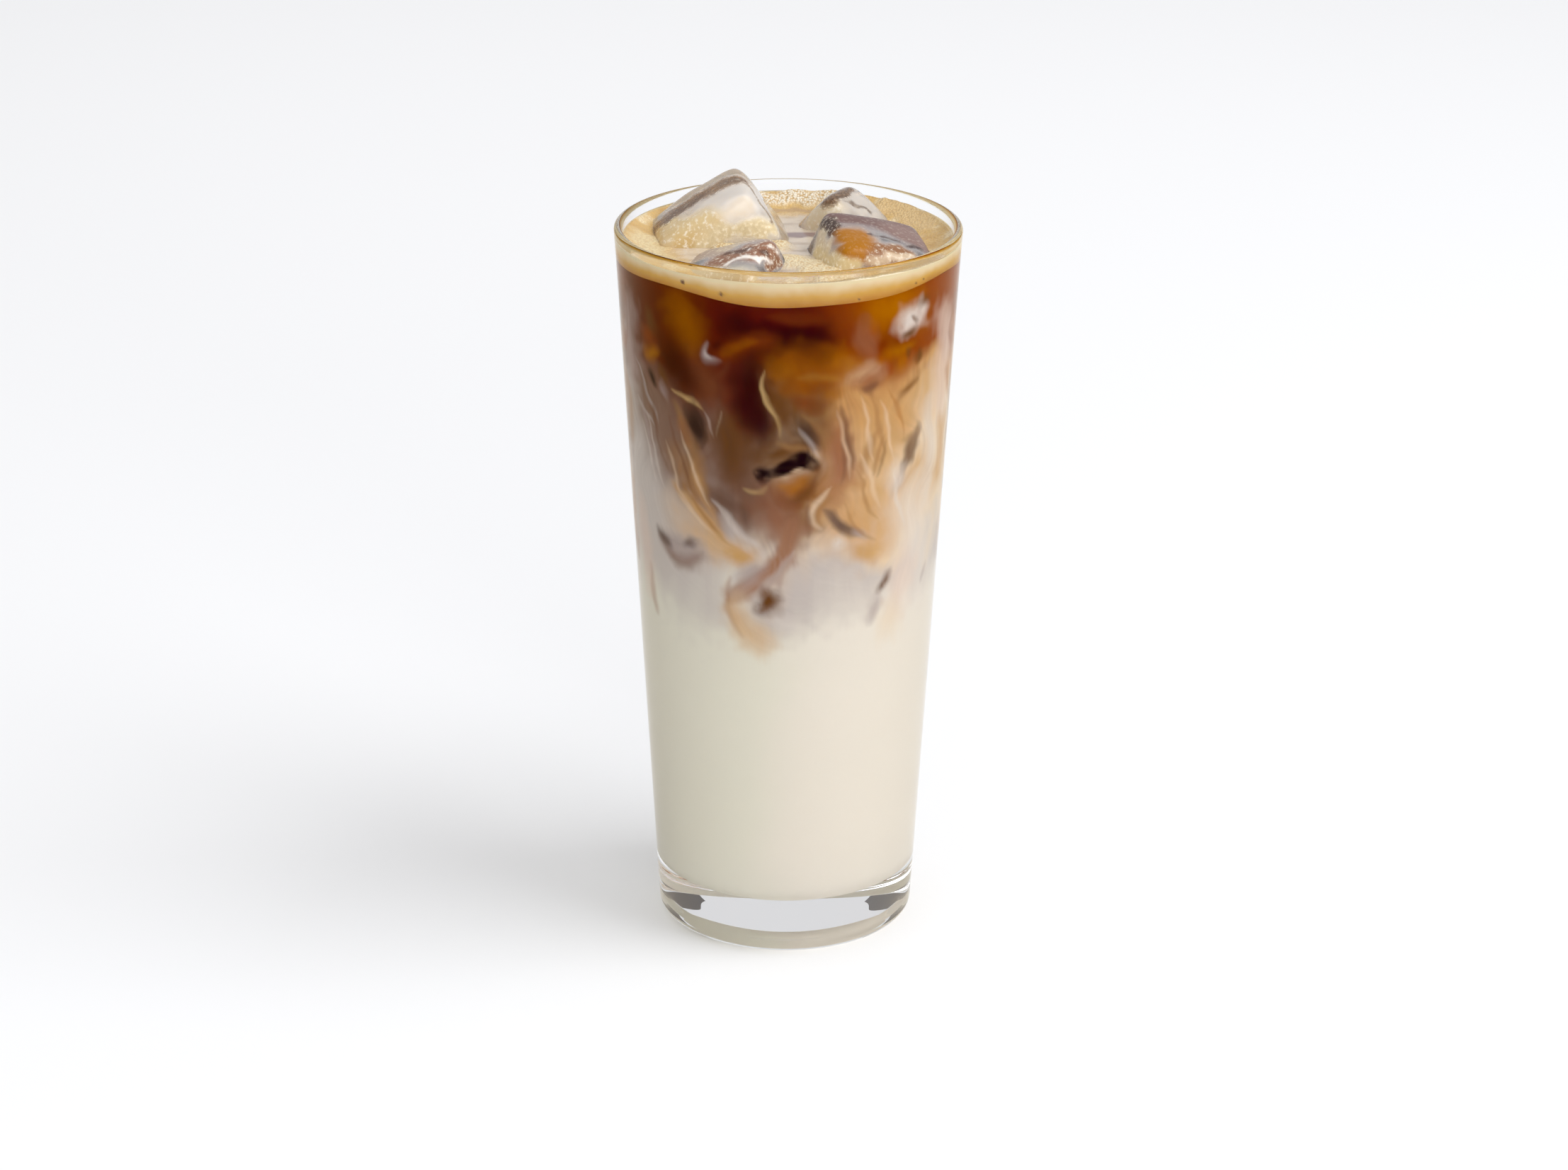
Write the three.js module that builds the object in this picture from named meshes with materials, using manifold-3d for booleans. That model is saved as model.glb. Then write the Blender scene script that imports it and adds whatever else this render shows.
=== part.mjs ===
// Iced latte in a tall tapered glass: milk below, coffee above, a thin head of foam and four ice cubes.
// Millimetres, +Z up, origin at the centre of the foot. The front of the drink faces -Y.

import * as THREE from 'three';
import { mergeVertices } from 'three/addons/utils/BufferGeometryUtils.js';
import ManifoldModule from 'manifold-3d';

// Glass
const glassHeight = 166.8;
const rimRadius = 39; // outside, at the top
const footRadius = 29.6; // outside, where the cone would meet the table
const rimWall = 1.9;
const footWall = 2.7;
const floorThickness = 12.8;
const floorFillet = 4; // inside, between floor and wall
const footEdge = 3.2; // outside, between foot and wall
const kickRadius = 19.5; // shallow recess under the foot
const kickSlope = 2;
const kickDepth = 1.2;

// Levels of the drink, measured up from the table
const mixLevel = 108; // middle of the zone where coffee runs down into the milk
const mixArm = 12; // how far the arms of coffee and milk reach past that level
const mixRipple = 3;
const armCount = 3;
const rippleCount = 7;
const armTwist = 1.6; // radians that an arm turns between the wall and the axis
const tailAngle = THREE.MathUtils.degToRad(-10); // where the longest tail of coffee shows at the front
const foamLine = 159.5; // underside of the foam at the wall
const foamWave = 0.8;
const foamWaveCount = 2;
const foamRipple = 0.3;
const foamRippleCount = 5;
const foamHighAngle = THREE.MathUtils.degToRad(-35); // where that underside is highest
const filmBottom = 160.2; // the foam thins to a film in the middle
const filmTop = 161.3;
const crestRise = 2.7; // how far the foam climbs the wall above the film
const crestWave = 0.4;
const crestWaveCount = 3;
const crestStart = 0.8; // share of the radius where the climb begins

// Facets and the gap that keeps neighbouring pieces apart
const sectors = 48;
const rings = 7;
const arcSteps = 4;
const gap = 0.3;

// Ice: each cube melts to a rounded block, a little narrower at one end
const iceFacets = 5;
const iceSquareness = 5; // exponent of the rounded block: 2 is an egg, large is a sharp box
const iceTaper = 0.05;
const iceDent = 0.35;
const iceDentWaves = [2.4, 1.3, 2.1]; // radians of dent across half a cube, along X, Y and Z
const iceCubes = [
  { name: 'ice_left_rear', size: [25, 22.5, 26], center: [-14.4, 11, 158.7], turn: [4, -32, 8] },
  { name: 'ice_right_rear', size: [18.5, 18.5, 19], center: [13.4, 20.3, 156.3], turn: [0, 38, -22] },
  { name: 'ice_right_front', size: [26, 23, 22], center: [17.8, -5.6, 156.6], turn: [12, 14, 14] },
  { name: 'ice_left_front', size: [23, 22, 22], center: [-11.4, -16.6, 154], turn: [10, -18, -20] },
];

const materials = {
  glass: new THREE.MeshStandardMaterial({
    color: 0xf2f5f5, roughness: 0.04, metalness: 0, transparent: true, opacity: 0.3,
  }),
  milk: new THREE.MeshStandardMaterial({ color: 0xe4dccb, roughness: 0.35, metalness: 0 }),
  coffee: new THREE.MeshStandardMaterial({ color: 0x6b2f10, roughness: 0.2, metalness: 0 }),
  foam: new THREE.MeshStandardMaterial({ color: 0xd8b878, roughness: 0.6, metalness: 0 }),
  ice: new THREE.MeshStandardMaterial({
    color: 0xdcd6cc, roughness: 0.15, metalness: 0, transparent: true, opacity: 0.6,
  }),
};

function outerRadius(z) {
  return THREE.MathUtils.lerp(footRadius, rimRadius, z / glassHeight);
}

function innerRadius(z) {
  return outerRadius(z) - THREE.MathUtils.lerp(footWall, rimWall, z / glassHeight);
}

const filletTop = floorThickness + floorFillet;
const floorEdge = innerRadius(filletTop);

// Outline of the wall from the middle of the foot, up the outside, over the rim and down to the floor
function glassGeometry() {
  const rimRound = rimWall / 2;
  const rimStart = glassHeight - rimRound;
  const outline = new THREE.Path();
  outline.moveTo(0, kickDepth);
  outline.lineTo(kickRadius - kickSlope, kickDepth);
  outline.lineTo(kickRadius, 0);
  outline.lineTo(outerRadius(0) - footEdge, 0);
  outline.quadraticCurveTo(outerRadius(0), 0, outerRadius(footEdge), footEdge);
  outline.lineTo(outerRadius(rimStart), rimStart);
  outline.absarc(rimRadius - rimRound, rimStart, rimRound, 0, Math.PI, false);
  outline.lineTo(floorEdge, filletTop);
  outline.absarc(floorEdge - floorFillet, filletTop, floorFillet, 0, -Math.PI / 2, true);
  outline.lineTo(0, floorThickness);
  const lathe = new THREE.LatheGeometry(outline.getPoints(arcSteps), sectors);
  return lathe.rotateX(Math.PI / 2);
}

// Angles run from the front of the drink, positive towards +X
function pointAt(radius, angle, z) {
  return [radius * Math.sin(angle), -radius * Math.cos(angle), z];
}

// Closed slab of drink between two surfaces, out to the wall less the gap.
// A surface gives the height at a share of the radius and an angle.
function slabGeometry(bottomAt, topAt) {
  const positions = [];
  const faces = [];
  const rowLength = rings * sectors + 1;

  function addSurface(heightAt) {
    positions.push(...pointAt(0, 0, heightAt(0, 0)));
    for (let ring = 1; ring <= rings; ring++) {
      const share = Math.sin((Math.PI / 2) * (ring / rings));
      for (let sector = 0; sector < sectors; sector++) {
        const angle = (2 * Math.PI * sector) / sectors;
        const edge = innerRadius(heightAt(1, angle)) - gap;
        positions.push(...pointAt(share * edge, angle, heightAt(share, angle)));
      }
    }
  }

  function vertex(surface, ring, sector) {
    const first = surface * rowLength;
    return ring === 0 ? first : first + 1 + (ring - 1) * sectors + (sector % sectors);
  }

  addSurface(bottomAt);
  addSurface(topAt);
  for (let sector = 0; sector < sectors; sector++) {
    for (let ring = 0; ring < rings; ring++) {
      for (const surface of [0, 1]) {
        const inner = vertex(surface, ring, sector);
        const innerNext = vertex(surface, ring, sector + 1);
        const outer = vertex(surface, ring + 1, sector);
        const outerNext = vertex(surface, ring + 1, sector + 1);
        const quad = [inner, outer, outerNext];
        if (ring > 0) quad.push(inner, outerNext, innerNext);
        if (surface === 0) quad.reverse();
        faces.push(...quad);
      }
    }
    const low = vertex(0, rings, sector);
    const lowNext = vertex(0, rings, sector + 1);
    const high = vertex(1, rings, sector);
    const highNext = vertex(1, rings, sector + 1);
    faces.push(low, lowNext, highNext, low, highNext, high);
  }

  const geometry = new THREE.BufferGeometry();
  geometry.setAttribute('position', new THREE.Float32BufferAttribute(positions, 3));
  geometry.setIndex(faces);
  return geometry;
}

// The milk rests on the floor of the glass and follows its fillet
function milkFloor(share) {
  const round = floorFillet - gap;
  const reach = share * (floorEdge - gap) - (floorEdge - floorFillet);
  const inFillet = THREE.MathUtils.clamp(reach, 0, round);
  return filletTop - Math.sqrt(round * round - inFillet * inFillet);
}

// Arms of coffee sink and arms of milk rise, turning like a slow stir
function mixHeight(share, angle) {
  const turned = angle - tailAngle + armTwist * (1 - share);
  const arm = -mixArm * Math.cos(armCount * turned);
  const ripple = mixRipple * Math.sin(rippleCount * turned);
  return mixLevel + share * (arm + ripple);
}

function foamUnderside(share, angle) {
  const turned = angle - foamHighAngle;
  const wave = foamWave * Math.cos(foamWaveCount * turned);
  const ripple = foamRipple * Math.sin(foamRippleCount * turned);
  return THREE.MathUtils.lerp(filmBottom, foamLine + wave + ripple, share * share);
}

function foamTop(share, angle) {
  const climb = THREE.MathUtils.clamp((share - crestStart) / (1 - crestStart), 0, 1);
  return filmTop + climb * climb * (crestRise + crestWave * Math.sin(crestWaveCount * angle));
}

// Box pushed out to a rounded block, then narrowed towards its top and dented a little
function iceGeometry(size, growth) {
  const [waveX, waveY, waveZ] = iceDentWaves;
  const box = new THREE.BoxGeometry(2, 2, 2, iceFacets, iceFacets, iceFacets);
  box.deleteAttribute('normal');
  box.deleteAttribute('uv');
  const block = mergeVertices(box);
  const position = block.getAttribute('position');
  const point = new THREE.Vector3();
  for (let i = 0; i < position.count; i++) {
    point.fromBufferAttribute(position, i);
    const powers = point.toArray().map((value) => Math.abs(value) ** iceSquareness);
    const reach = powers.reduce((sum, power) => sum + power, 0) ** (1 / iceSquareness);
    point.divideScalar(reach);
    const narrow = 1 - iceTaper * point.z;
    const across = Math.sin(waveX * point.x + waveY * point.y);
    const dent = iceDent * across * Math.cos(waveZ * point.z + size[0]);
    const half = size.map((value) => value / 2 - dent + growth);
    position.setXYZ(i, point.x * half[0] * narrow, point.y * half[1] * narrow, point.z * half[2]);
  }
  return block;
}

function iceMesh(cube) {
  const mesh = new THREE.Mesh(iceGeometry(cube.size, 0), materials.ice);
  mesh.name = cube.name;
  mesh.position.set(...cube.center);
  mesh.rotation.set(...cube.turn.map(THREE.MathUtils.degToRad), 'ZXY');
  mesh.updateMatrixWorld();
  return mesh;
}

const manifold = await ManifoldModule();
manifold.setup();

function toSolid(geometry) {
  const vertProperties = new Float32Array(geometry.getAttribute('position').array);
  const triVerts = new Uint32Array(geometry.index.array);
  return new manifold.Manifold(new manifold.Mesh({ numProp: 3, vertProperties, triVerts }));
}

function toGeometry(solid) {
  const { vertProperties, triVerts } = solid.getMesh();
  const geometry = new THREE.BufferGeometry();
  geometry.setAttribute('position', new THREE.Float32BufferAttribute(vertProperties, 3));
  geometry.setIndex([...triVerts]);
  return geometry;
}

const iceMeshes = iceCubes.map(iceMesh);

// The hollows that the cubes leave in the drink, one gap wider than the ice
const iceHollows = iceCubes.map((cube, i) => {
  const grown = iceGeometry(cube.size, gap).applyMatrix4(iceMeshes[i].matrixWorld);
  return toSolid(grown);
});

function cutRoundIce(geometry) {
  let solid = toSolid(geometry);
  for (const hollow of iceHollows) solid = solid.subtract(hollow);
  return toGeometry(solid);
}

function namedMesh(name, geometry, material) {
  geometry.computeVertexNormals();
  const mesh = new THREE.Mesh(geometry, material);
  mesh.name = name;
  return mesh;
}

const milk = slabGeometry(milkFloor, (share, angle) => mixHeight(share, angle) - gap / 2);
const coffee = slabGeometry(
  (share, angle) => mixHeight(share, angle) + gap / 2,
  (share, angle) => foamUnderside(share, angle) - gap / 2,
);
const foam = slabGeometry((share, angle) => foamUnderside(share, angle) + gap / 2, foamTop);

const latte = new THREE.Group();
latte.add(
  namedMesh('glass', glassGeometry(), materials.glass),
  namedMesh('milk', milk, materials.milk),
  namedMesh('coffee', cutRoundIce(coffee), materials.coffee),
  namedMesh('foam', cutRoundIce(foam), materials.foam),
  ...iceMeshes,
);

export default latte;
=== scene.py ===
# Iced latte in its tall glass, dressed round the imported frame. Sizes in the dictionaries are millimetres.
import math

import bpy
import numpy as np
from mathutils import Matrix, Vector, noise


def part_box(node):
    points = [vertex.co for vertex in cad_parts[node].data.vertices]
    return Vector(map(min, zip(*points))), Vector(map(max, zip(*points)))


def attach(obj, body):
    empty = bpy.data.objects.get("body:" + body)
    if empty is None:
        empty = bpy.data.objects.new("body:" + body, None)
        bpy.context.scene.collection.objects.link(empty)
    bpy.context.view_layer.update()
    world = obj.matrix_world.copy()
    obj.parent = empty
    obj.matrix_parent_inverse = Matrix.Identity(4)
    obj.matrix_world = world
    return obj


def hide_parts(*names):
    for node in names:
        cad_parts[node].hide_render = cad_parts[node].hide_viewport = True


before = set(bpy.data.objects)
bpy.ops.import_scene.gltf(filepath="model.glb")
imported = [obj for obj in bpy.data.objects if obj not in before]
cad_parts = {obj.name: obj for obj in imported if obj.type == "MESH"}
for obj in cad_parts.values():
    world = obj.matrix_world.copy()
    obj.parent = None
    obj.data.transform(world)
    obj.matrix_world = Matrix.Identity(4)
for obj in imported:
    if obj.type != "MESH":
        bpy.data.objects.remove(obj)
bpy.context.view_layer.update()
mm = 0.001
noiseSeed = 2
noise.seed_set(noiseSeed)  # without a seed the noise vectors follow the clock
print("frame loaded:", sorted(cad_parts))


# small tools

def hexColour(text):
    values = [int(text[i:i + 2], 16) / 255 for i in (1, 3, 5)]
    return np.array([v / 12.92 if v <= 0.04045 else ((v + 0.055) / 1.055) ** 2.4 for v in values])


def plug(tree, node, links):
    for name, source in links.items():
        tree.links.new(source, node.inputs[name])


def addNode(tree, kind, settings=None, links=None):
    node = tree.nodes.new(kind)
    for name, value in (settings or {}).items():
        if isinstance(name, int) or name in node.inputs:
            node.inputs[name].default_value = value
        else:
            setattr(node, name, value)
    plug(tree, node, links or {})
    return node


def readLayer(tree, layer):
    return addNode(tree, "ShaderNodeAttribute", {"attribute_name": layer})


# 6 and 7 are the mix node's colour sockets and 2 is its colour output
def tintNode(tree, base, colour, share):
    settings = {"data_type": "RGBA", 7: (*hexColour(colour), 1)}
    return addNode(tree, "ShaderNodeMix", settings, {0: share, 6: base}).outputs[2]


def newMaterial(name, settings):
    material = bpy.data.materials.new(name)
    material.use_nodes = True
    tree = material.node_tree
    shader = tree.nodes["Principled BSDF"]
    for socket, value in settings.items():
        shader.inputs[socket].default_value = value
    return material, tree, shader


def deselectAll():
    bpy.ops.object.select_all(action="DESELECT")


def makeActive(piece):
    deselectAll()
    piece.select_set(True)
    bpy.context.view_layer.objects.active = piece


def smooth(low, high, value):
    share = np.clip((value - low) / (high - low), 0, 1)
    return share * share * (3 - 2 * share)


def blend(base, top, share):
    return base + (top - base) * share


def noiseAt(points, size):
    return np.array([noise.noise(Vector(p) / size) for p in points])


# size, depth and seed of each layer
def noiseSum(points, layers):
    return sum(depth * noiseAt(points + seed, size) for size, depth, seed in layers)


def noiseVectors(points, size):
    return np.array([noise.noise_vector(Vector(p) / size) for p in points])


def readPoints(piece):
    flat = np.empty(len(piece.data.vertices) * 3)
    piece.data.vertices.foreach_get("co", flat)
    return flat.reshape(-1, 3) / mm


def writePoints(piece, points):
    piece.data.vertices.foreach_set("co", (points * mm).ravel())
    piece.data.update()


def paintPoints(piece, layer, colours):
    if layer not in piece.data.attributes:
        piece.data.attributes.new(layer, "FLOAT_COLOR", "POINT")
    rgba = np.ones((len(colours), 4))
    rgba[:, :3] = colours
    piece.data.attributes[layer].data.foreach_set("color", rgba.ravel())


def arc(centre, radius, start, end, steps):
    turns = [math.radians(start + (end - start) * i / steps) for i in range(steps + 1)]
    return [(centre[0] + radius * math.cos(t), centre[1] + radius * math.sin(t)) for t in turns]


def spread(start, end, step):
    count = max(1, round(abs(end - start) / step))
    return [start + (end - start) * i / count for i in range(count + 1)]


# One corner of a small plane is drawn out along the outline, and the line is spun round the glass's axis
def spinOutline(name, outline, steps, weld=0.001, sharp=30):
    deselectAll()
    bpy.ops.mesh.primitive_plane_add(size=mm)
    piece = bpy.context.object
    piece.name = name
    piece.data.name = name
    points = [Vector((r * mm, 0, z * mm)) for r, z in outline]
    bpy.ops.object.mode_set(mode="EDIT")
    bpy.ops.mesh.select_all(action="SELECT")
    bpy.ops.mesh.merge(type="CENTER")
    bpy.ops.transform.translate(value=points[0])
    for here, there in zip(points, points[1:]):
        bpy.ops.mesh.extrude_region_move(TRANSFORM_OT_translate={"value": there - here})
    bpy.ops.mesh.select_all(action="SELECT")
    bpy.ops.mesh.spin(steps=steps, angle=2 * math.pi, center=(0, 0, 0), axis=(0, 0, 1))
    bpy.ops.mesh.select_all(action="SELECT")
    bpy.ops.mesh.remove_doubles(threshold=weld * mm)
    bpy.ops.mesh.normals_make_consistent(inside=False)
    bpy.ops.object.mode_set(mode="OBJECT")
    bpy.ops.object.shade_smooth_by_angle(angle=math.radians(sharp))
    return piece


def useModifier(piece, kind, **settings):
    makeActive(piece)
    bpy.ops.object.modifier_add(type=kind)
    modifier = piece.modifiers[-1]
    for name, value in settings.items():
        setattr(modifier, name, value)
    bpy.ops.object.modifier_apply(modifier=modifier.name)


def cutWith(piece, cutter):
    useModifier(piece, "BOOLEAN", operation="DIFFERENCE", solver="MANIFOLD", object=cutter)


def finishPiece(piece, material, slot, *nodes):
    piece.data.materials.clear()
    piece.data.materials.append(material)
    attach(piece, "root")
    if nodes:
        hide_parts(*nodes)
    print("made", piece.name, len(piece.data.polygons), "faces")


# Camera at the photograph's own viewpoint

cameraLook = {
    "photoWidth": 2214,  # pixels
    "focalPixels": 5560,
    "sensor": 36,
    "place": (-0.57, -849, 408.5),
    "pitchDown": 21.135,  # degrees
    "roll": 0.29,
}


def setCamera(look):
    data = bpy.data.cameras.new("photoCamera")
    data.sensor_fit = "HORIZONTAL"
    data.sensor_width = look["sensor"]
    data.lens = look["sensor"] * look["focalPixels"] / look["photoWidth"]
    camera = bpy.data.objects.new("photoCamera", data)
    tip = Matrix.Rotation(math.radians(90 - look["pitchDown"]), 4, "X")
    roll = Matrix.Rotation(math.radians(look["roll"]), 4, "Z")
    camera.matrix_world = Matrix.Translation(Vector(look["place"]) * mm) @ tip @ roll
    bpy.context.scene.collection.objects.link(camera)
    bpy.context.scene.camera = camera


# Soft studio: pale floor, white room, a large key panel from the right, a low fill from the front
# and a weak panel over the paper behind

studioLook = {
    "floorSide": 5000,
    "floorGap": 0.15,  # keeps the foot's underside clear of the paper
    "floorColour": "#f4f4f4",
    "room": "#f9f9fb",
    "roomStrength": 0.745,
    "panels": {  # the cone is in degrees; the sweep's lights only the paper behind the glass
        "keyPanel": {"place": (1230, -390, 1650), "aim": (0, 0, 87), "size": 1350, "power": 22.5,
                     "colour": "#fafcff", "cone": 180},
        "fillPanel": {"place": (380, -1450, 380), "aim": (0, 0, 87), "size": 800, "power": 10,
                      "colour": "#ffffff", "cone": 180},
        "sweepPanel": {"place": (-200, 900, 900), "aim": (-200, 900, 0), "size": 900, "power": 0.22,
                       "colour": "#ffffff", "cone": 80},
    },
    "cards": {"colour": "#5c5c5c", "away": 240, "from": 60, "to": 480, "low": 110, "high": 230},
    "bounces": 32,
    "diffuseBounces": 12,  # milk passes light on many times
}


def addPanel(name, look):
    data = bpy.data.lights.new(name, "AREA")
    data.shape = "SQUARE"
    data.size = look["size"] * mm
    data.spread = math.radians(look["cone"])
    data.energy = look["power"]
    data.color = hexColour(look["colour"])
    panel = bpy.data.objects.new(name, data)
    panel.location = Vector(look["place"]) * mm
    panel.visible_camera = False
    reach = Vector(look["aim"]) - Vector(look["place"])
    panel.rotation_euler = reach.to_track_quat("-Z", "Y").to_euler()
    bpy.context.scene.collection.objects.link(panel)


# Grey cards on both sides draw the glass's edges; only the glass and the ice see them
def addCards(look):
    material = newMaterial("grey studio card", {"Base Color": (*hexColour(look["colour"]), 1)})[0]
    for side in (-1, 1):
        deselectAll()
        bpy.ops.mesh.primitive_plane_add(size=mm)
        card = bpy.context.object
        card.name = "cardLeft" if side < 0 else "cardRight"
        bpy.ops.object.mode_set(mode="EDIT")
        bpy.ops.mesh.select_all(action="SELECT")
        bpy.ops.transform.rotate(value=math.pi / 2, orient_axis="Y", center_override=(0, 0, 0))
        bpy.ops.transform.resize(value=(1, look["to"] - look["from"], look["high"] - look["low"]))
        middle = (side * look["away"], (look["from"] + look["to"]) / 2, (look["low"] + look["high"]) / 2)
        bpy.ops.transform.translate(value=Vector(middle) * mm)
        bpy.ops.object.mode_set(mode="OBJECT")
        card.visible_camera = False
        card.visible_diffuse = False
        card.visible_shadow = False
        card.data.materials.append(material)


def setStudio(look):
    deselectAll()
    bpy.ops.mesh.primitive_plane_add(size=look["floorSide"] * mm)
    floor = bpy.context.object
    floor.name = "floor"
    floor.location.z = -look["floorGap"] * mm
    # uncoated paper: soft and even, with hardly any shine
    material = newMaterial("matt white paper sweep", {
        "Base Color": (*hexColour(look["floorColour"]), 1),
        "Roughness": 0.9,
        "Specular IOR Level": 0.1,
    })[0]
    floor.data.materials.append(material)
    world = bpy.data.worlds.new("white room")
    world.use_nodes = True
    background = world.node_tree.nodes["Background"]
    background.inputs["Color"].default_value = (*hexColour(look["room"]), 1)
    background.inputs["Strength"].default_value = look["roomStrength"]
    scene = bpy.context.scene
    scene.world = world
    for name, panel in look["panels"].items():
        addPanel(name, panel)
    addCards(look["cards"])
    scene.view_settings.view_transform = "Standard"
    scene.cycles.max_bounces = look["bounces"]
    scene.cycles.transmission_bounces = look["bounces"]
    scene.cycles.glossy_bounces = look["bounces"]
    scene.cycles.diffuse_bounces = look["diffuseBounces"]
    scene.cycles.use_denoising = True
    print("studio set")


# Glass: pressed tumbler with a thick floor, drawn as one outline

glassLook = {
    "footRadius": 29.6,  # where the cone would meet the table
    "rimWall": 1.9,
    "footWall": 2.7,
    "floor": 12.8,
    "fillet": 4,
    "footEdge": 3.2,
    "kickRadius": 19.5,
    "kickSlope": 2.5,
    "kickDepth": 1.2,
    "rowStep": 6,
    "floorStep": 4,
    "arcSteps": 10,
    "rimSteps": 12,
    "kickShares": (0.15, 0.35, 0.5, 0.65, 0.85, 1),  # rows down the edge of the recess
    "turns": 192,
    "footMargin": 1,  # the foot without a shadow ends this far above the floor
    "film": 114,  # nanometres; a quarter wave, which keeps the pale floor's reflection off the dark coffee
    "filmIndex": 1.216,
}
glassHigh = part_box("glass")[1]
rimRadius = glassHigh.x / mm
glassHeight = glassHigh.z / mm
filletTop = glassLook["floor"] + glassLook["fillet"]


def outerRadius(z):
    return glassLook["footRadius"] + (rimRadius - glassLook["footRadius"]) * z / glassHeight


def innerRadius(z):
    wall = glassLook["footWall"] + (glassLook["rimWall"] - glassLook["footWall"]) * z / glassHeight
    return outerRadius(z) - wall


def glassOutline(look):
    rimRound = look["rimWall"] / 2
    rimStart = glassHeight - rimRound
    kick = look["kickRadius"]
    footEdge = look["footEdge"]
    fillet = look["fillet"]
    line = [(r, look["kickDepth"]) for r in spread(0, kick - look["kickSlope"], look["floorStep"])]
    for share in look["kickShares"]:
        drop = look["kickDepth"] * (1 - float(smooth(0, 1, share)))
        line.append((kick - look["kickSlope"] * (1 - share), drop))
    line += arc((outerRadius(footEdge) - footEdge, footEdge), footEdge, -90, 0, look["arcSteps"])
    line += [(outerRadius(z), z) for z in spread(footEdge, rimStart, look["rowStep"])[1:-1]]
    line += arc((rimRadius - rimRound, rimStart), rimRound, 0, 180, look["rimSteps"])
    line += [(innerRadius(z), z) for z in spread(rimStart, filletTop, look["rowStep"])[1:-1]]
    corner = innerRadius(filletTop) - fillet
    line += arc((corner, filletTop), fillet, 0, -90, look["arcSteps"])
    line += [(r, look["floor"]) for r in spread(corner, 0, look["floorStep"])[1:]]
    return line


def makeGlass(look):
    glass = spinOutline("tallGlass", glassOutline(look), look["turns"])
    # soda-lime glass, pressed and fire polished: clear, bright and sharply reflecting
    material, tree, shader = newMaterial("soda-lime glass, pressed and fire polished", {
        "Base Color": (1, 1, 1, 1),
        "Roughness": 0.0,
        "IOR": 1.48,
        "Thin Film Thickness": look["film"],
        "Thin Film IOR": look["filmIndex"],
        "Transmission Weight": 1.0,
    })
    # shadows leave the thick foot out, so that the paper under it stays bright
    footTop = look["floor"] + look["footMargin"]
    where = addNode(tree, "ShaderNodeTexCoord")
    axes = addNode(tree, "ShaderNodeSeparateXYZ", {}, {"Vector": where.outputs["Object"]})
    foot = addNode(tree, "ShaderNodeMath", {"operation": "LESS_THAN", 1: footTop * mm},
                   {0: axes.outputs["Z"]})
    path = addNode(tree, "ShaderNodeLightPath")
    passing = addNode(tree, "ShaderNodeMath", {"operation": "MULTIPLY"},
                      {0: foot.outputs["Value"], 1: path.outputs["Is Shadow Ray"]})
    clear = addNode(tree, "ShaderNodeBsdfTransparent")
    mixed = addNode(tree, "ShaderNodeMixShader", {}, {
        0: passing.outputs["Value"], 1: shader.outputs["BSDF"], 2: clear.outputs["BSDF"]})
    tree.links.new(mixed.outputs["Shader"], tree.nodes["Material Output"].inputs["Surface"])
    finishPiece(glass, material, "clear_glass", "glass")


# Ice: bevelled blocks, subdivided and melted a little out of true

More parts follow.
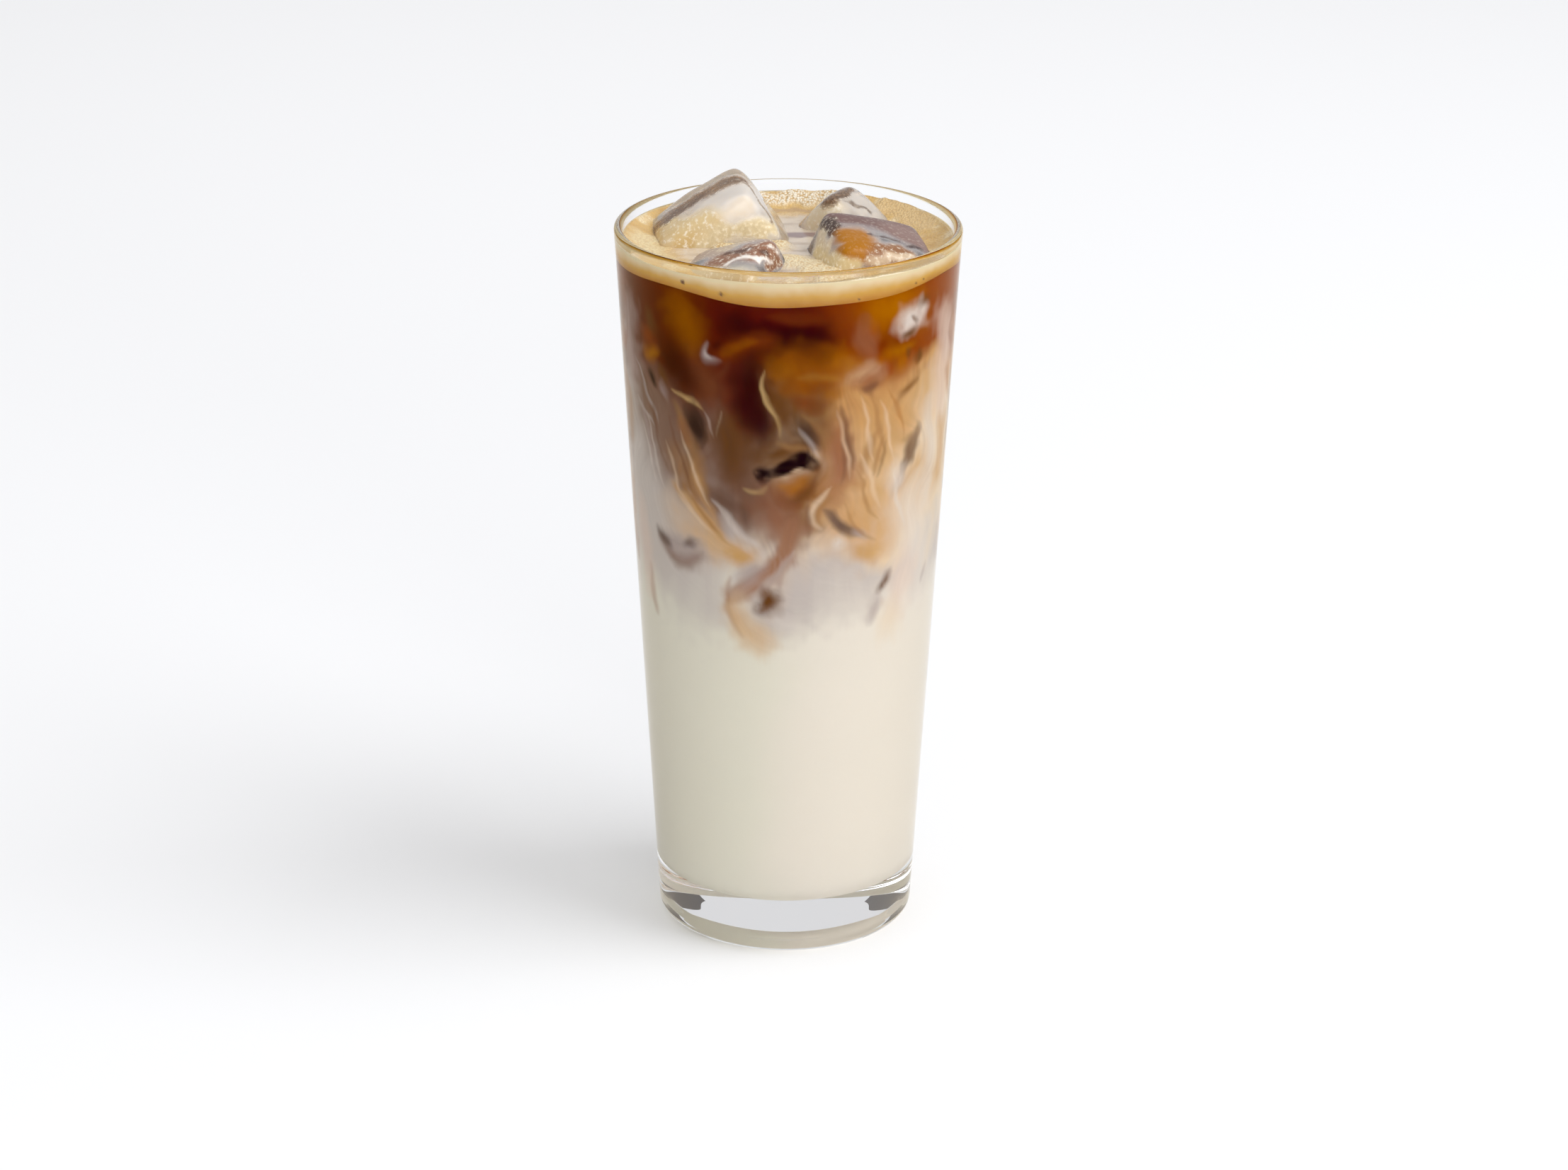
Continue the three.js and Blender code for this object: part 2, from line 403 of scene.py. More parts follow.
iceLook = {
    # size, centre and turn of each cube; the colour painted in its hollow, near the surface and below,
    # lighter than the coffee: painted light seen through the clear ice;
    # then what has dried or frozen on it, and painted highlights: colour, radius, cover, grain and where it
    # lies.
    # Grain 0 is a smooth film, 0.5 holds white bubbles and 1 is broken crystals.
    "cubes": [
        {"node": "ice_left_rear", "size": (27, 23, 27),
         "centre": (-14.2, 11, 158.1), "turn": (4, -32, 8),
         "near": "#fbf6ee", "below": "#f0dfba", "dabs": [
             # painted highlight: the pale upper half of the cube
             ("#f7f3ee", 7, 0.5, 0.2, [(-16, 3, 171), (-12, 3, 173), (-8, 5, 172)]),
             ("#e2ca98", 5.5, 0.75, 0.55, [(-28, 6, 163), (-24, 0.5, 164.4), (-18, -0.3, 165.4)]),
             ("#d8ba80", 3.6, 0.8, 0.5, [(-30, 9, 160), (-23.4, -1, 160.6), (-18, -1, 161.6)]),
             ("#8a6a4c", 3.6, 0.9, 1.0,
              [(-30, 10, 164), (-24.6, 9.6, 168), (-17.5, 10, 172), (-12, 9.4, 174)]),
             ("#664a34", 2.0, 0.95, 0.85, [(-27.5, 8, 165.8), (-22.5, 9, 169), (-19, 9.6, 171)]),
             ("#6e5644", 1.8, 0.95, 0.85, [(-15, 10.4, 173), (-11.6, 9, 174.2)]),
             ("#e9d6ac", 2.8, 0.95, 0.62,
              [(-18, -1, 162), (-14.7, -0.2, 164.6), (-10, 0.3, 165.4), (-4, 2, 165)]),
             ("#97826c", 0.7, 0.6, 0.2, [(-9.3, 7.4, 173.8), (-6.5, 4.5, 171), (-4, 2.4, 167)]),
         ]},
        {"node": "ice_right_rear", "size": (19, 18.5, 20),
         "centre": (12.2, 20.3, 157.2), "turn": (0, 38, -22),
         "near": "#f8efe2", "below": "#ecd8bc", "dabs": [
             # painted highlight: the pale top
             ("#f3ede4", 6, 0.5, 0.2, [(16, 18, 166), (18, 20, 164)]),
             ("#e8d8b8", 4, 0.75, 0.5, [(6, 14, 163), (9.5, 14, 166)]),
             ("#7c5f45", 2.6, 0.9, 0.95, [(8.5, 15.5, 168.2), (12, 19, 169.4), (14, 23, 169)]),
             ("#8a7a6c", 0.7, 0.7, 0.2, [(13, 16, 168.2), (17, 17.5, 165.6), (20.5, 19, 162.5)]),
         ]},
        {"node": "ice_right_front", "size": (26, 23, 22),
         "centre": (17.8, -5.6, 156.6), "turn": (12, 14, 14),
         "near": "#f0b848", "below": "#b0929a", "dabs": [
             ("#745650", 8, 0.92, 0.1, [(12, -2, 169), (20, 0, 167.4), (28, -3, 165)]),
             ("#8e7068", 5, 0.85, 0.1, [(25, -3, 165.6), (31, -6, 163.6)]),
             ("#e6d6ba", 3.4, 0.9, 0.6, [(7.6, -6, 166.6), (6.6, -7.7, 163.5), (8, -12, 164)]),
             ("#5c463c", 1.9, 0.9, 0.75, [(7.8, -3, 168), (9.6, -7.5, 168.6), (10.2, -11, 168)]),
             ("#a86a00", 4.6, 0.95, 0.04,
              [(13, -13, 168), (16, -12, 167.6), (13.8, -18, 165.6), (17.4, -16, 166)]),
             ("#966844", 3.6, 0.9, 0.35, [(21, -15.4, 165.2), (25, -13.6, 164), (20, -18, 163.4)]),
             # painted highlight along the front edge
             ("#e6ccac", 1.6, 0.9, 0.6, [(18, -18.6, 163.4), (22, -17, 163.8), (26, -14, 163)]),
             ("#53403e", 0.9, 0.85, 0.1, [(18, -9, 167.4), (24, -9.5, 165.6), (29, -9.5, 163.6)]),
             ("#e6d2a2", 3.2, 0.95, 0.55, [(6.4, -9, 161.6), (9, -16.6, 162.4), (13, -19.4, 162)]),
         ]},
        {"node": "ice_left_front", "size": (23, 22, 22),
         "centre": (-11.4, -16.6, 154), "turn": (10, -18, -20),
         "near": "#ecd6c0", "below": "#a87c64", "dabs": [
             ("#b8a49a", 5, 0.8, 0.3, [(-21, -9, 162), (-16, -12, 164)]),
             ("#cdbba8", 2.4, 0.8, 0.5, [(-14, -13.4, 164.8), (-8, -12, 166), (-3.6, -11.6, 165)]),
             ("#94684e", 5.2, 0.9, 0.4, [(-15, -20, 164.2), (-9, -20, 165.2), (-5, -17, 165.4)]),
             ("#5c3a2a", 1.4, 0.9, 0.2, [(-13, -17, 165), (-9, -18.6, 165.6), (-5.4, -18.6, 165.2)]),
             ("#f6eee4", 0.8, 0.95, 0.3,
              [(-13, -23.5, 164.4), (-9, -21.6, 165.4), (-6, -22.6, 165), (-3.6, -19, 163.8)]),
             ("#f6eee4", 0.7, 0.95, 0.3, [(-8, -19.6, 165.6), (-5, -16, 165.6), (-2.8, -15.5, 164.9)]),
             ("#8c6248", 1.6, 0.9, 0.4, [(-4, -22, 162.6), (-2, -17, 163)]),
             ("#dcc79c", 4.4, 0.95, 0.4, [(-23, -22, 161), (-16, -27, 161.6), (-8, -28, 161)]),
         ]},
    ],
    "round": 4.2,  # melted edges
    "levels": 4,
    "taper": 0.05,  # narrower at the top
    "melt": [(9, 0.35), (4, 0.1)],  # size and depth of the hollows that melting leaves
    "cloud": 0.1,  # trapped air that whitens all of the ice
    "grain": 0.2,
    "crystal": 0.9,  # size of the frozen crystals
    "bubble": "#fbf1de",
    "ragged": (3, 1.4),  # how the films' edges wander
    "tide": (3, 13),  # depths under the drink's top between which "near" turns into "below"
    "tideRagged": (4, 3),
    "overlap": 0.15,  # how far drink and foam reach into the ice, so that no air shows between
    "hollowDetail": 0.5,  # the hollows only show through the ice, so half of its faces will do
}


# Share of a dab at each point: full at its middle, none past its edge
def dabShare(points, path, radius, full=0.45, edge=1.25):
    stops = [np.array(stop, dtype=float) for stop in path]
    nearest = np.full(len(points), 1e9)
    for here, there in zip(stops, stops[1:] or stops):
        reach = there - here
        along = np.clip((points - here) @ reach / max(reach @ reach, 1e-9), 0, 1)
        nearest = np.minimum(nearest, np.linalg.norm(points - here - along[:, None] * reach, axis=1))
    return 1 - smooth(full, edge, nearest / radius)


def frostIceAndHighlights(cube, dabs, look):
    points = readPoints(cube)
    size, reach = look["ragged"]
    loose = points + reach * noiseVectors(points, size)
    colours = np.ones((len(points), 3))
    cover = np.full(len(points), look["cloud"])
    grain = np.full(len(points), look["grain"])
    for colour, radius, dabCover, dabGrain, path in dabs:
        share = dabShare(loose, path, radius)
        colours = blend(colours, hexColour(colour), share[:, None])
        cover = blend(cover, dabCover, share)
        grain = blend(grain, dabGrain, share)
    paintPoints(cube, "film", colours)
    holes = np.clip(2 * grain - 1, 0, 1)
    bubbles = np.clip(1 - np.abs(2 * grain - 1), 0, 1)
    paintPoints(cube, "crust", np.stack([cover, holes, bubbles], 1))


# clear ice: bends what lies behind it, with a wet gloss; foam and coffee lie on it as films and crystals,
# with a few painted highlights among them
def iceMaterial(look):
    material, tree, shader = newMaterial("clear ice, wet and half melted", {"IOR": 1.31})
    place = addNode(tree, "ShaderNodeTexCoord")
    film = readLayer(tree, "film")
    crust = readLayer(tree, "crust")
    parts = addNode(tree, "ShaderNodeSeparateColor", None, {"Color": crust.outputs["Color"]})
    scale = 1 / (look["crystal"] * mm)
    fleck = addNode(tree, "ShaderNodeTexNoise", {"Scale": scale, "Detail": 4.0, "Roughness": 0.65},
                    {"Vector": place.outputs["Object"]})
    broken = addNode(tree, "ShaderNodeMapRange", {"From Min": 0.46, "From Max": 0.56},
                     {"Value": fleck.outputs["Fac"]})
    ground = addNode(tree, "ShaderNodeMix", {"data_type": "FLOAT", "A": 1.0},
                     {"Factor": parts.outputs["Green"], "B": broken.outputs["Result"]})
    cover = addNode(tree, "ShaderNodeMath", {"operation": "MULTIPLY"},
                    {0: parts.outputs["Red"], 1: ground.outputs["Result"]})
    clear = addNode(tree, "ShaderNodeMath", {"operation": "SUBTRACT", 0: 1.0}, {1: cover.outputs["Value"]})
    rough = addNode(tree, "ShaderNodeMapRange", {"To Min": 0.02, "To Max": 0.4},
                    {"Value": cover.outputs["Value"]})
    dent = addNode(tree, "ShaderNodeBump", {"Distance": 0.25 * mm},
                   {"Strength": parts.outputs["Green"], "Height": fleck.outputs["Fac"]})
    bright = addNode(tree, "ShaderNodeMapRange", {"From Min": 0.52, "From Max": 0.66},
                     {"Value": fleck.outputs["Fac"], "To Max": parts.outputs["Blue"]})
    plug(tree, shader, {
        "Base Color": tintNode(tree, film.outputs["Color"], look["bubble"], bright.outputs["Result"]),
        "Transmission Weight": clear.outputs["Value"],
        "Roughness": rough.outputs["Result"],
        "Normal": dent.outputs["Normal"],
    })
    return material


def makeIce(look):
    material = iceMaterial(look)
    cubes = []
    for block in look["cubes"]:
        deselectAll()
        bpy.ops.mesh.primitive_cube_add(size=mm)
        cube = bpy.context.object
        cube.name = block["node"] + "_melted"
        cube.data.name = cube.name
        bpy.ops.object.mode_set(mode="EDIT")
        bpy.ops.mesh.select_all(action="SELECT")
        bpy.ops.transform.resize(value=block["size"])
        bpy.ops.mesh.bevel(offset=look["round"] * mm, segments=2, affect="EDGES")
        bpy.ops.object.mode_set(mode="OBJECT")
        useModifier(cube, "SUBSURF", levels=look["levels"], render_levels=look["levels"])
        points = readPoints(cube)
        points[:, :2] *= (1 - look["taper"] * 2 * points[:, 2] / block["size"][2])[:, None]
        normals = np.empty(len(points) * 3)
        cube.data.vertices.foreach_get("normal", normals)
        for size, depth in look["melt"]:
            wander = noiseAt(points + np.array(block["centre"]), size)
            points = points + normals.reshape(-1, 3) * (depth * wander)[:, None]
        angles = dict(zip("XYZ", block["turn"]))
        turn = Matrix.Identity(3)
        for axis in "ZXY":
            turn = turn @ Matrix.Rotation(math.radians(angles[axis]), 3, axis)
        writePoints(cube, points @ np.array(turn).T + np.array(block["centre"]))
        frostIceAndHighlights(cube, block["dabs"], look)
        makeActive(cube)
        bpy.ops.object.shade_smooth()
        finishPiece(cube, material, "ice", block["node"])
        cubes.append(cube)
    return cubes


# Slightly smaller copies of the cubes, joined, cut the hollows in the drink and the foam
def makeIceCutter(cubes, look):
    copies = []
    for cube, block in zip(cubes, look["cubes"]):
        copy = cube.copy()
        copy.data = cube.data.copy()
        copy.parent = None
        copy.matrix_world = Matrix.Identity(4)
        for key in list(copy.keys()):
            del copy[key]
        bpy.context.scene.collection.objects.link(copy)
        points = readPoints(copy)
        size, reach = look["tideRagged"]
        height = points[:, 2] + reach * noiseAt(points, size)
        depth = smooth(*look["tide"], drinkLook["top"] - height)[:, None]
        # painted light: the hollows are lighter than the coffee, as the light seen through the clear ice
        colours = blend(hexColour(block["near"]), hexColour(block["below"]), depth)
        paintPoints(copy, "swirlLightAndShade", colours)
        paintPoints(copy, "foam", colours)
        copies.append(copy)
    deselectAll()
    for copy in copies:
        copy.select_set(True)
    cutter = copies[0]
    bpy.context.view_layer.objects.active = cutter
    bpy.ops.object.join()
    cutter.name = "iceCutter"
    bpy.ops.object.mode_set(mode="EDIT")
    bpy.ops.mesh.select_all(action="SELECT")
    bpy.ops.transform.shrink_fatten(value=-look["overlap"] * mm)
    bpy.ops.object.mode_set(mode="OBJECT")
    useModifier(cutter, "DECIMATE", ratio=look["hollowDetail"])
    return cutter


# Drink: milk below and coffee above, solid to the eye, both painted with the swirls that show at the wall,
# with painted shade and painted light

drinkLook = {
    "milkTop": 74,  # pure milk below
    "split": 112,  # where the two pieces meet
    "top": 160.6,
    "bite": 0.25,  # reach into the wall
    "turns": 640,
    "fineFrom": 68,
    "fineStep": 0.45,
    "coarseStep": 3,
    "coffeeBase": 158,  # pure coffee above
    "wallRadius": 36,  # turns degrees round the wall into millimetres
    "wallLight": 0.64,  # share of the paint's colour that comes out through the glass
    "wallBack": 0.2,  # extra that the glass throws back on a pale drink
    "warps": [(26, 3.0), (9, 1.3)],  # size and reach of the slow curls
    "strokeWarps": [(9, 1.2), (4, 0.6), (1.8, 0.15)],
    "hair": (0.9, 16),  # width and length of the finest streaks
    "hairMix": (0.7, 0.5, 2.2),  # share of them, share of wider ones and how much wider
    "strand": (3.2, 26),
    "stir": (14, 0.16, 0.06, 0.015),  # size and reach of the slow stir, then what strands and hair add
    "stillMilk": 0.2,  # share of the mixing height where the stir has set in
    # painted shade: the half turned away from the key panel is painted greyer and darker, along with the
    # drink's cooler tones
    "coolSide": (-0.35, 0.45),  # the left is cooler in colour
    "shadedRagged": (16, 0.4),
    "ragged": (0.18, 2.6, 0.3),  # what hair adds to a stroke's edge, then size and reach of its wander
    "ends": ((0.5, 4), (0.2, 0.8)),  # thin lines run out to a point, pools don't
    "belly": 0.6,
    "leanReach": 0.75,
    "streak": (0.5, 14),  # width and length of the streaks inside a stroke
    "comb": 0.16,  # how strongly a stroke is streaked along its length
    "combWidth": 4,  # wider strokes are streaked less
    "strokeReach": 4,  # half widths past its path that a stroke can touch
    "hairCover": 0.15,
    "hairTone": 0.1,
    "hairFrom": (0.25, 0.5),  # shares of the mixing height where the hair sets in and fades
    "hairTo": (0.78, 1.0),
    "hairFade": 0.7,
    "seeds": {"warp": 100, "stroke": 31, "hair": 11, "wide": 57, "strand": 91, "stir": 7, "cool": 53,
              "ragged": 17},
    "floorStep": 5,
    "filletSteps": 8,
    "lidStep": 8,
    "lidInset": 1,
    "brightest": 0.97,
    # whirls: degrees from the front, height, radius, turn in degrees
    "whirls": [
        (-1, 121, 11, 95), (-25, 147, 7, -120), (-15, 95, 13, 60), (13, 112, 9, -70), (-34, 122, 12, 50),
        (44, 124, 14, -55), (30, 142, 9, 60), (-52, 136, 11, -60), (40, 98, 12, 50), (-46, 104, 12, -45),
        (12, 150, 10, 45), (62, 112, 12, 60), (-66, 116, 12, 50),
    ],
    "colours": {
        "milk": "#dbd6c4", "cream": "#dfd6c7", "skim": "#c2b9b0", "mist": "#b9aea6", "haze": "#a49690",
        "ash": "#a08a84", "smoke": "#7c6152", "cocoa": "#6a4a37", "plum": "#5e4536", "ink": "#54443e",
        "slate": "#34251c", "bean": "#140504", "dark": "#2a0402", "red": "#4c0b04", "rust": "#571d03",
        "ember": "#743206", "amber": "#823600", "honey": "#945000", "gold": "#a66200", "brass": "#b98230",
        "straw": "#d8b274", "olive": "#5c360a", "umber": "#5e3a18", "mauve": "#6a3a20", "rose": "#8c5638",
        "fawn": "#92664a",
        "tan": "#9a6e42", "caramel": "#c0905a", "sand": "#c8a274", "wheat": "#dcc4a4", "blush": "#d8bfae",
        "pearl": "#d9cfc4",
    },
    # lit and shaded ramps: the shaded one is painted shade for the half away from the key panel, the lit
    # one its lit side
    "shadedCoolRamp": [
        (0.0, "milk"), (0.12, "milk"), (0.25, "skim"), (0.38, "mist"), (0.54, "smoke"), (0.68, "cocoa"),
        (0.82, "rust"), (1.0, "rust"),
    ],
    "litWarmRamp": [
        (0.0, "cream"), (0.12, "cream"), (0.26, "skim"), (0.36, "wheat"), (0.48, "sand"), (0.58, "wheat"),
        (0.68, "sand"), (0.78, "caramel"), (0.88, "amber"), (1.0, "amber"),
    ],
    # colour, half width, strength, then degrees from the front and height along the stroke;
    # last the softness of its edge and its lean to one side, where they aren't 1 and 0
    "strokes": [
        # broad pools
        ("rust", 7, 0.95, [(-50, 155), (-46, 146), (-40, 141)]),
        ("rust", 6, 0.9, [(-36, 154), (-30, 144)]),
        ("red", 8, 0.95, [(-22, 155), (-10, 154), (5, 154), (20, 152)]),
        ("amber", 7, 0.95, [(22, 156), (32, 153), (48, 149)]),
        ("gold", 5, 0.8, [(31, 157), (40, 155), (47, 154)]),
        ("mauve", 5.5, 0.9, [(-34, 142), (-26, 138), (-21, 134)]),
        ("red", 5, 0.9, [(-16, 146), (-15, 139), (-13, 131)]),
        ("honey", 6, 0.9, [(0, 144), (9, 141), (20, 142)]),
        ("amber", 5, 0.85, [(31, 146), (38, 144), (46, 144)]),
        ("olive", 6, 0.85, [(-4, 140), (2, 135), (8, 131)]),
        ("caramel", 7, 0.8, [(26, 136), (34, 131), (44, 131)]),
        ("sand", 7, 0.8, [(28, 124), (34, 116), (38, 108)]),
        ("caramel", 7, 0.85, [(14, 112), (24, 108), (34, 104)]),
        ("rose", 5, 0.8, [(16, 128), (18, 121), (17, 115)]),
        ("umber", 6, 0.8, [(-22, 128), (-18, 122), (-12, 118)]),
        ("smoke", 7, 0.85, [(-58, 136), (-52, 127), (-46, 119)]),
        ("smoke", 5, 0.8, [(-28, 130), (-26, 122), (-20, 116)]),
        ("cocoa", 6, 0.8, [(-16, 117), (-10, 112), (-2, 108)]),
        ("cocoa", 4, 0.7, [(2, 116), (4, 110), (2, 104)]),
        ("tan", 3.5, 0.6, [(-44, 122), (-38, 114), (-30, 107)]),
        ("sand", 5, 0.7, [(-48, 107), (-40, 104), (-28, 102)]),
        ("skim", 8, 0.8, [(-62, 112), (-58, 103), (-54, 95)]),
        ("skim", 8, 0.6, [(-45, 91), (-34, 87)]),
        ("mist", 7, 0.7, [(4, 96), (16, 92), (28, 90)]),
        ("pearl", 7, 0.7, [(52, 108), (58, 98), (62, 88)]),
        # left edge: a pale band of painted light where the glass turns away from the front, and its
        # curtains
        ("ash", 4, 0.75, [(-69, 151), (-74, 146), (-70, 140), (-75, 133)]),
        ("skim", 4.5, 0.7, [(-73, 132), (-69, 121), (-66, 110)]),
        ("cocoa", 0.8, 0.6, [(-63, 139), (-57, 131), (-52, 124)]),
        ("mist", 0.5, 0.5, [(-67, 132), (-61, 129), (-55, 126)]),
        ("mist", 0.5, 0.5, [(-66, 141), (-60, 134), (-52, 127)]),
        ("pearl", 0.4, 0.4, [(-64, 126), (-60, 119), (-56, 112)]),
        ("rose", 1.2, 0.5, [(-65, 92), (-63, 85), (-61, 79)]),
        ("blush", 3, 0.6, [(-70, 105), (-68, 94), (-66, 84)]),
        # dark top, left
        ("umber", 1.6, 0.7, [(-55, 154), (-54, 149)]),
        ("gold", 3.6, 0.5, [(-40, 157), (-37, 153), (-35, 149)]),
        ("amber", 1.8, 0.7, [(-59, 148), (-53, 147)]),
        ("gold", 1.4, 0.8, [(-59, 143), (-55, 144), (-51, 145)]),
        ("dark", 3.4, 0.8, [(-46, 146), (-41, 142), (-37, 139)]),
        ("bean", 1, 0.9, [(-57, 140), (-53, 136)], 0.9, 0),
        ("olive", 1.3, 0.7, [(-51, 142), (-49, 139), (-47, 135)], 1, 0.4),
        ("ash", 1.1, 0.6, [(-50, 138), (-48, 134)], 1, 0.3),
        # the pale curl
        ("haze", 0.8, 0.6, [(-28, 150), (-30, 147), (-27, 146), (-22, 146)], 1, -0.3),
        ("pearl", 0.4, 0.35, [(-29, 148), (-29, 147), (-26, 146)], 1, -0.3),
        ("dark", 1, 0.6, [(-26, 149), (-22, 149)]),
        # dark top, middle
        ("dark", 3.6, 0.85, [(-20, 153), (-12, 154)]),
        ("dark", 5, 0.95, [(-4, 151), (4, 151), (12, 152)]),
        ("ember", 2, 0.8, [(-23, 146), (-17, 148), (-10, 150), (-3, 151)], 1, 0.3),
        ("honey", 1, 0.5, [(-22, 147), (-16, 149), (-10, 150)], 1, 0.3),
        ("ember", 1.4, 0.5, [(-6, 157), (5, 156), (14, 156)]),
        ("ember", 1.4, 0.7, [(-2, 147), (6, 147), (14, 149), (20, 148)]),
        ("dark", 3.6, 0.95, [(-13, 145), (-13, 139), (-14, 133)]),
        ("dark", 2.4, 0.9, [(-11, 136), (-9, 131), (-9, 127)]),
        # dark top, right
        ("ember", 2.6, 0.7, [(18, 158), (22, 153), (24, 148)]),
        ("rust", 3, 0.6, [(32, 149), (46, 147)]),
        ("rose", 2.3, 0.75, [(26, 155), (27, 150), (28, 145)], 0.7, 0),
        ("gold", 1.6, 0.7, [(30, 144), (38, 146), (48, 146)], 1, 0.3),
        ("pearl", 2.7, 0.95, [(42, 152), (47, 153), (51, 154)], 0.8, 0),
        ("pearl", 1.3, 0.7, [(50, 154), (55, 155)]),
        ("umber", 1, 0.85, [(42, 150), (46, 150), (50, 151)], 0.8, 0),
        ("umber", 1.1, 0.7, [(50, 156), (56, 156)]),
        ("umber", 0.5, 0.7, [(47, 154), (50, 152)], 0.8, 0),
        # painted light: a pale band near the glass's right edge as seen from the front
        ("blush", 4, 0.75, [(67, 150), (72, 145), (68, 138), (73, 128)]),
        ("umber", 1.1, 0.85, [(51, 145), (52, 143), (50, 141)], 0.9, 0),
        ("umber", 0.8, 0.7, [(45, 146), (46, 143)]),
        # gold fold, a flame with a pale left edge
        ("gold", 3, 0.7, [(-2, 144), (6, 146), (14, 145), (22, 144)], 1, 0.3),
        ("honey", 2.4, 0.7, [(0, 140), (8, 142), (17, 142)]),
        ("gold", 1.4, 0.6, [(12, 139), (17, 138), (20, 138)]),
        ("ember", 1.6, 0.6, [(2, 138), (9, 136), (15, 136)]),
        ("brass", 0.9, 0.5, [(3, 143), (11, 143), (19, 141)]),
        ("straw", 0.6, 0.75, [(-8, 144), (-10, 141), (-8, 137), (-4, 133), (-2, 128)], 1, 0.4),
        ("olive", 1.6, 0.7, [(-6, 140), (-3, 135), (0, 131)]),
        # right eye and the gold round it
        ("wheat", 2, 0.3, [(22, 141), (28, 143), (36, 142)]),
        ("rose", 2.2, 0.85, [(25, 140), (30, 140), (34, 141)], 0.8, 0),
        ("cocoa", 0.9, 0.8, [(26, 139), (29, 138), (33, 140)]),
        ("amber", 1.8, 0.6, [(33, 146), (38, 143), (41, 140)]),
        ("gold", 1.4, 0.6, [(42, 145), (44, 141)]),
        ("tan", 1.3, 0.7, [(53, 139), (46, 136), (39, 133)]),
        ("umber", 0.8, 0.6, [(52, 138), (46, 136), (41, 134)]),
        # flows on the right
        ("sand", 3, 0.7, [(41, 132), (48, 130), (56, 128)]),
        ("caramel", 2.4, 0.7, [(39, 133), (44, 130), (48, 126)]),
        ("plum", 1.9, 0.9, [(54, 127), (50, 122), (46, 117)], 0.7, 0),
        ("haze", 2, 0.6, [(47, 118), (44, 113)]),
        ("pearl", 2.4, 0.6, [(42, 119), (44, 114)]),
        ("pearl", 3, 0.6, [(59, 131), (64, 119), (64, 108)]),
        ("tan", 1.2, 0.7, [(34, 129), (30, 124), (27, 118)]),
        ("tan", 0.7, 0.7, [(37, 127), (33, 122), (31, 117)]),
        ("umber", 0.6, 0.5, [(38, 126), (35, 121), (33, 117)]),
        # curtains beside the dark wedge
        ("straw", 0.5, 0.6, [(-44, 137), (-37, 135), (-31, 133)], 1, 0.3),
        ("slate", 2.4, 0.9, [(-37, 133), (-33, 130), (-32, 125)], 0.5, 0),
        ("bean", 1, 0.5, [(-35, 131), (-32, 127)]),
        ("blush", 0.3, 0.35, [(-31, 133), (-28, 130), (-26, 127)]),
        ("wheat", 0.3, 0.35, [(-23, 134), (-24, 131), (-25, 127)]),
        ("olive", 3.4, 0.85, [(-22, 131), (-21, 125), (-20, 119)]),
        ("tan", 1.4, 0.7, [(-43, 134), (-38, 127), (-34, 120), (-31, 114)]),
        ("caramel", 1.2, 0.6, [(-38, 122), (-34, 115), (-28, 109)]),
        ("rose", 1.4, 0.5, [(-41, 131), (-37, 124)]),
        # shade in the middle
        ("dark", 3, 0.5, [(2, 152), (8, 150), (13, 147)]),
        ("rust", 4, 0.4, [(4, 147), (10, 144), (12, 140)]),
        ("umber", 2.6, 0.5, [(12, 139), (13, 134), (11, 129)]),
        ("umber", 3.2, 0.5, [(-3, 132), (0, 128), (5, 125)]),
        ("tan", 3, 0.5, [(11, 119), (12, 113), (11, 108)]),
        # the dark seed in its olive whorl
        ("olive", 2.8, 0.6, [(4, 127), (8, 122), (6, 117)]),
        ("olive", 3.4, 0.9, [(-10, 125), (-3, 124), (4, 126)]),
        ("slate", 2.2, 0.8, [(4, 132), (7, 130), (10, 126)], 1, 0.3),
        ("tan", 1.2, 0.6, [(6, 134), (12, 130), (14, 125), (13, 118)], 1, 0.4),
        ("mist", 0.6, 0.4, [(4, 131), (8, 127), (11, 123)]),
        ("tan", 0.9, 0.6, [(-4, 127), (2, 126), (8, 125)]),
        ("honey", 2.8, 0.7, [(-4, 116), (3, 116), (9, 118)]),
        ("gold", 1.2, 0.5, [(-2, 117), (4, 117), (9, 120)]),
        ("umber", 1.3, 0.8, [(-5, 114), (3, 113), (8, 116), (10, 121)]),
        ("bean", 1.4, 1, [(7, 123), (3, 122), (-2, 120), (-8, 120)], 0.4, 0),
        ("bean", 2, 1, [(3, 123), (7, 123), (8, 122)], 0.4, 0),
        ("bean", 1.6, 1, [(-10, 120), (-7, 119)], 0.5, 0),
        ("straw", 0.6, 0.6, [(-15, 116), (-11, 115), (-7, 117)]),
        # curtains right of the seed
        ("rose", 2, 0.6, [(18, 131), (19, 124), (20, 118)]),
        ("cocoa", 0.7, 0.8, [(19, 135), (21, 129), (24, 124), (24, 119)], 1, 0.4),
        ("wheat", 0.5, 0.4, [(18, 134), (20, 128), (23, 123), (22, 117)]),
        ("cocoa", 0.6, 0.6, [(20, 127), (21, 122), (19, 116)]),
        # the folded curl below it
        ("wheat", 0.7, 0.7, [(16, 116), (10, 113), (8, 109), (12, 106)]),
        ("tan", 0.8, 0.7, [(17, 114), (12, 112), (10, 109), (12, 107)]),
        ("cocoa", 0.6, 0.6, [(8, 114), (7, 109), (8, 104)]),
        ("ink", 1.4, 0.9, [(13, 111), (18, 108), (24, 105), (29, 104)], 0.8, 0),
        ("haze", 1, 0.6, [(25, 105), (32, 103)]),
        ("pearl", 1.5, 0.7, [(19, 103), (21, 102)]),
        ("brass", 2, 0.6, [(27, 100), (32, 99), (37, 99)]),
        # left of the tail
        ("plum", 2.2, 0.8, [(-31, 114), (-24, 113), (-19, 110)]),
        ("plum", 1.2, 0.7, [(-16, 112), (-13, 107)]),
        ("pearl", 0.8, 0.6, [(-29, 113), (-20, 108), (-13, 103), (-9, 99)], 1, 0.3),
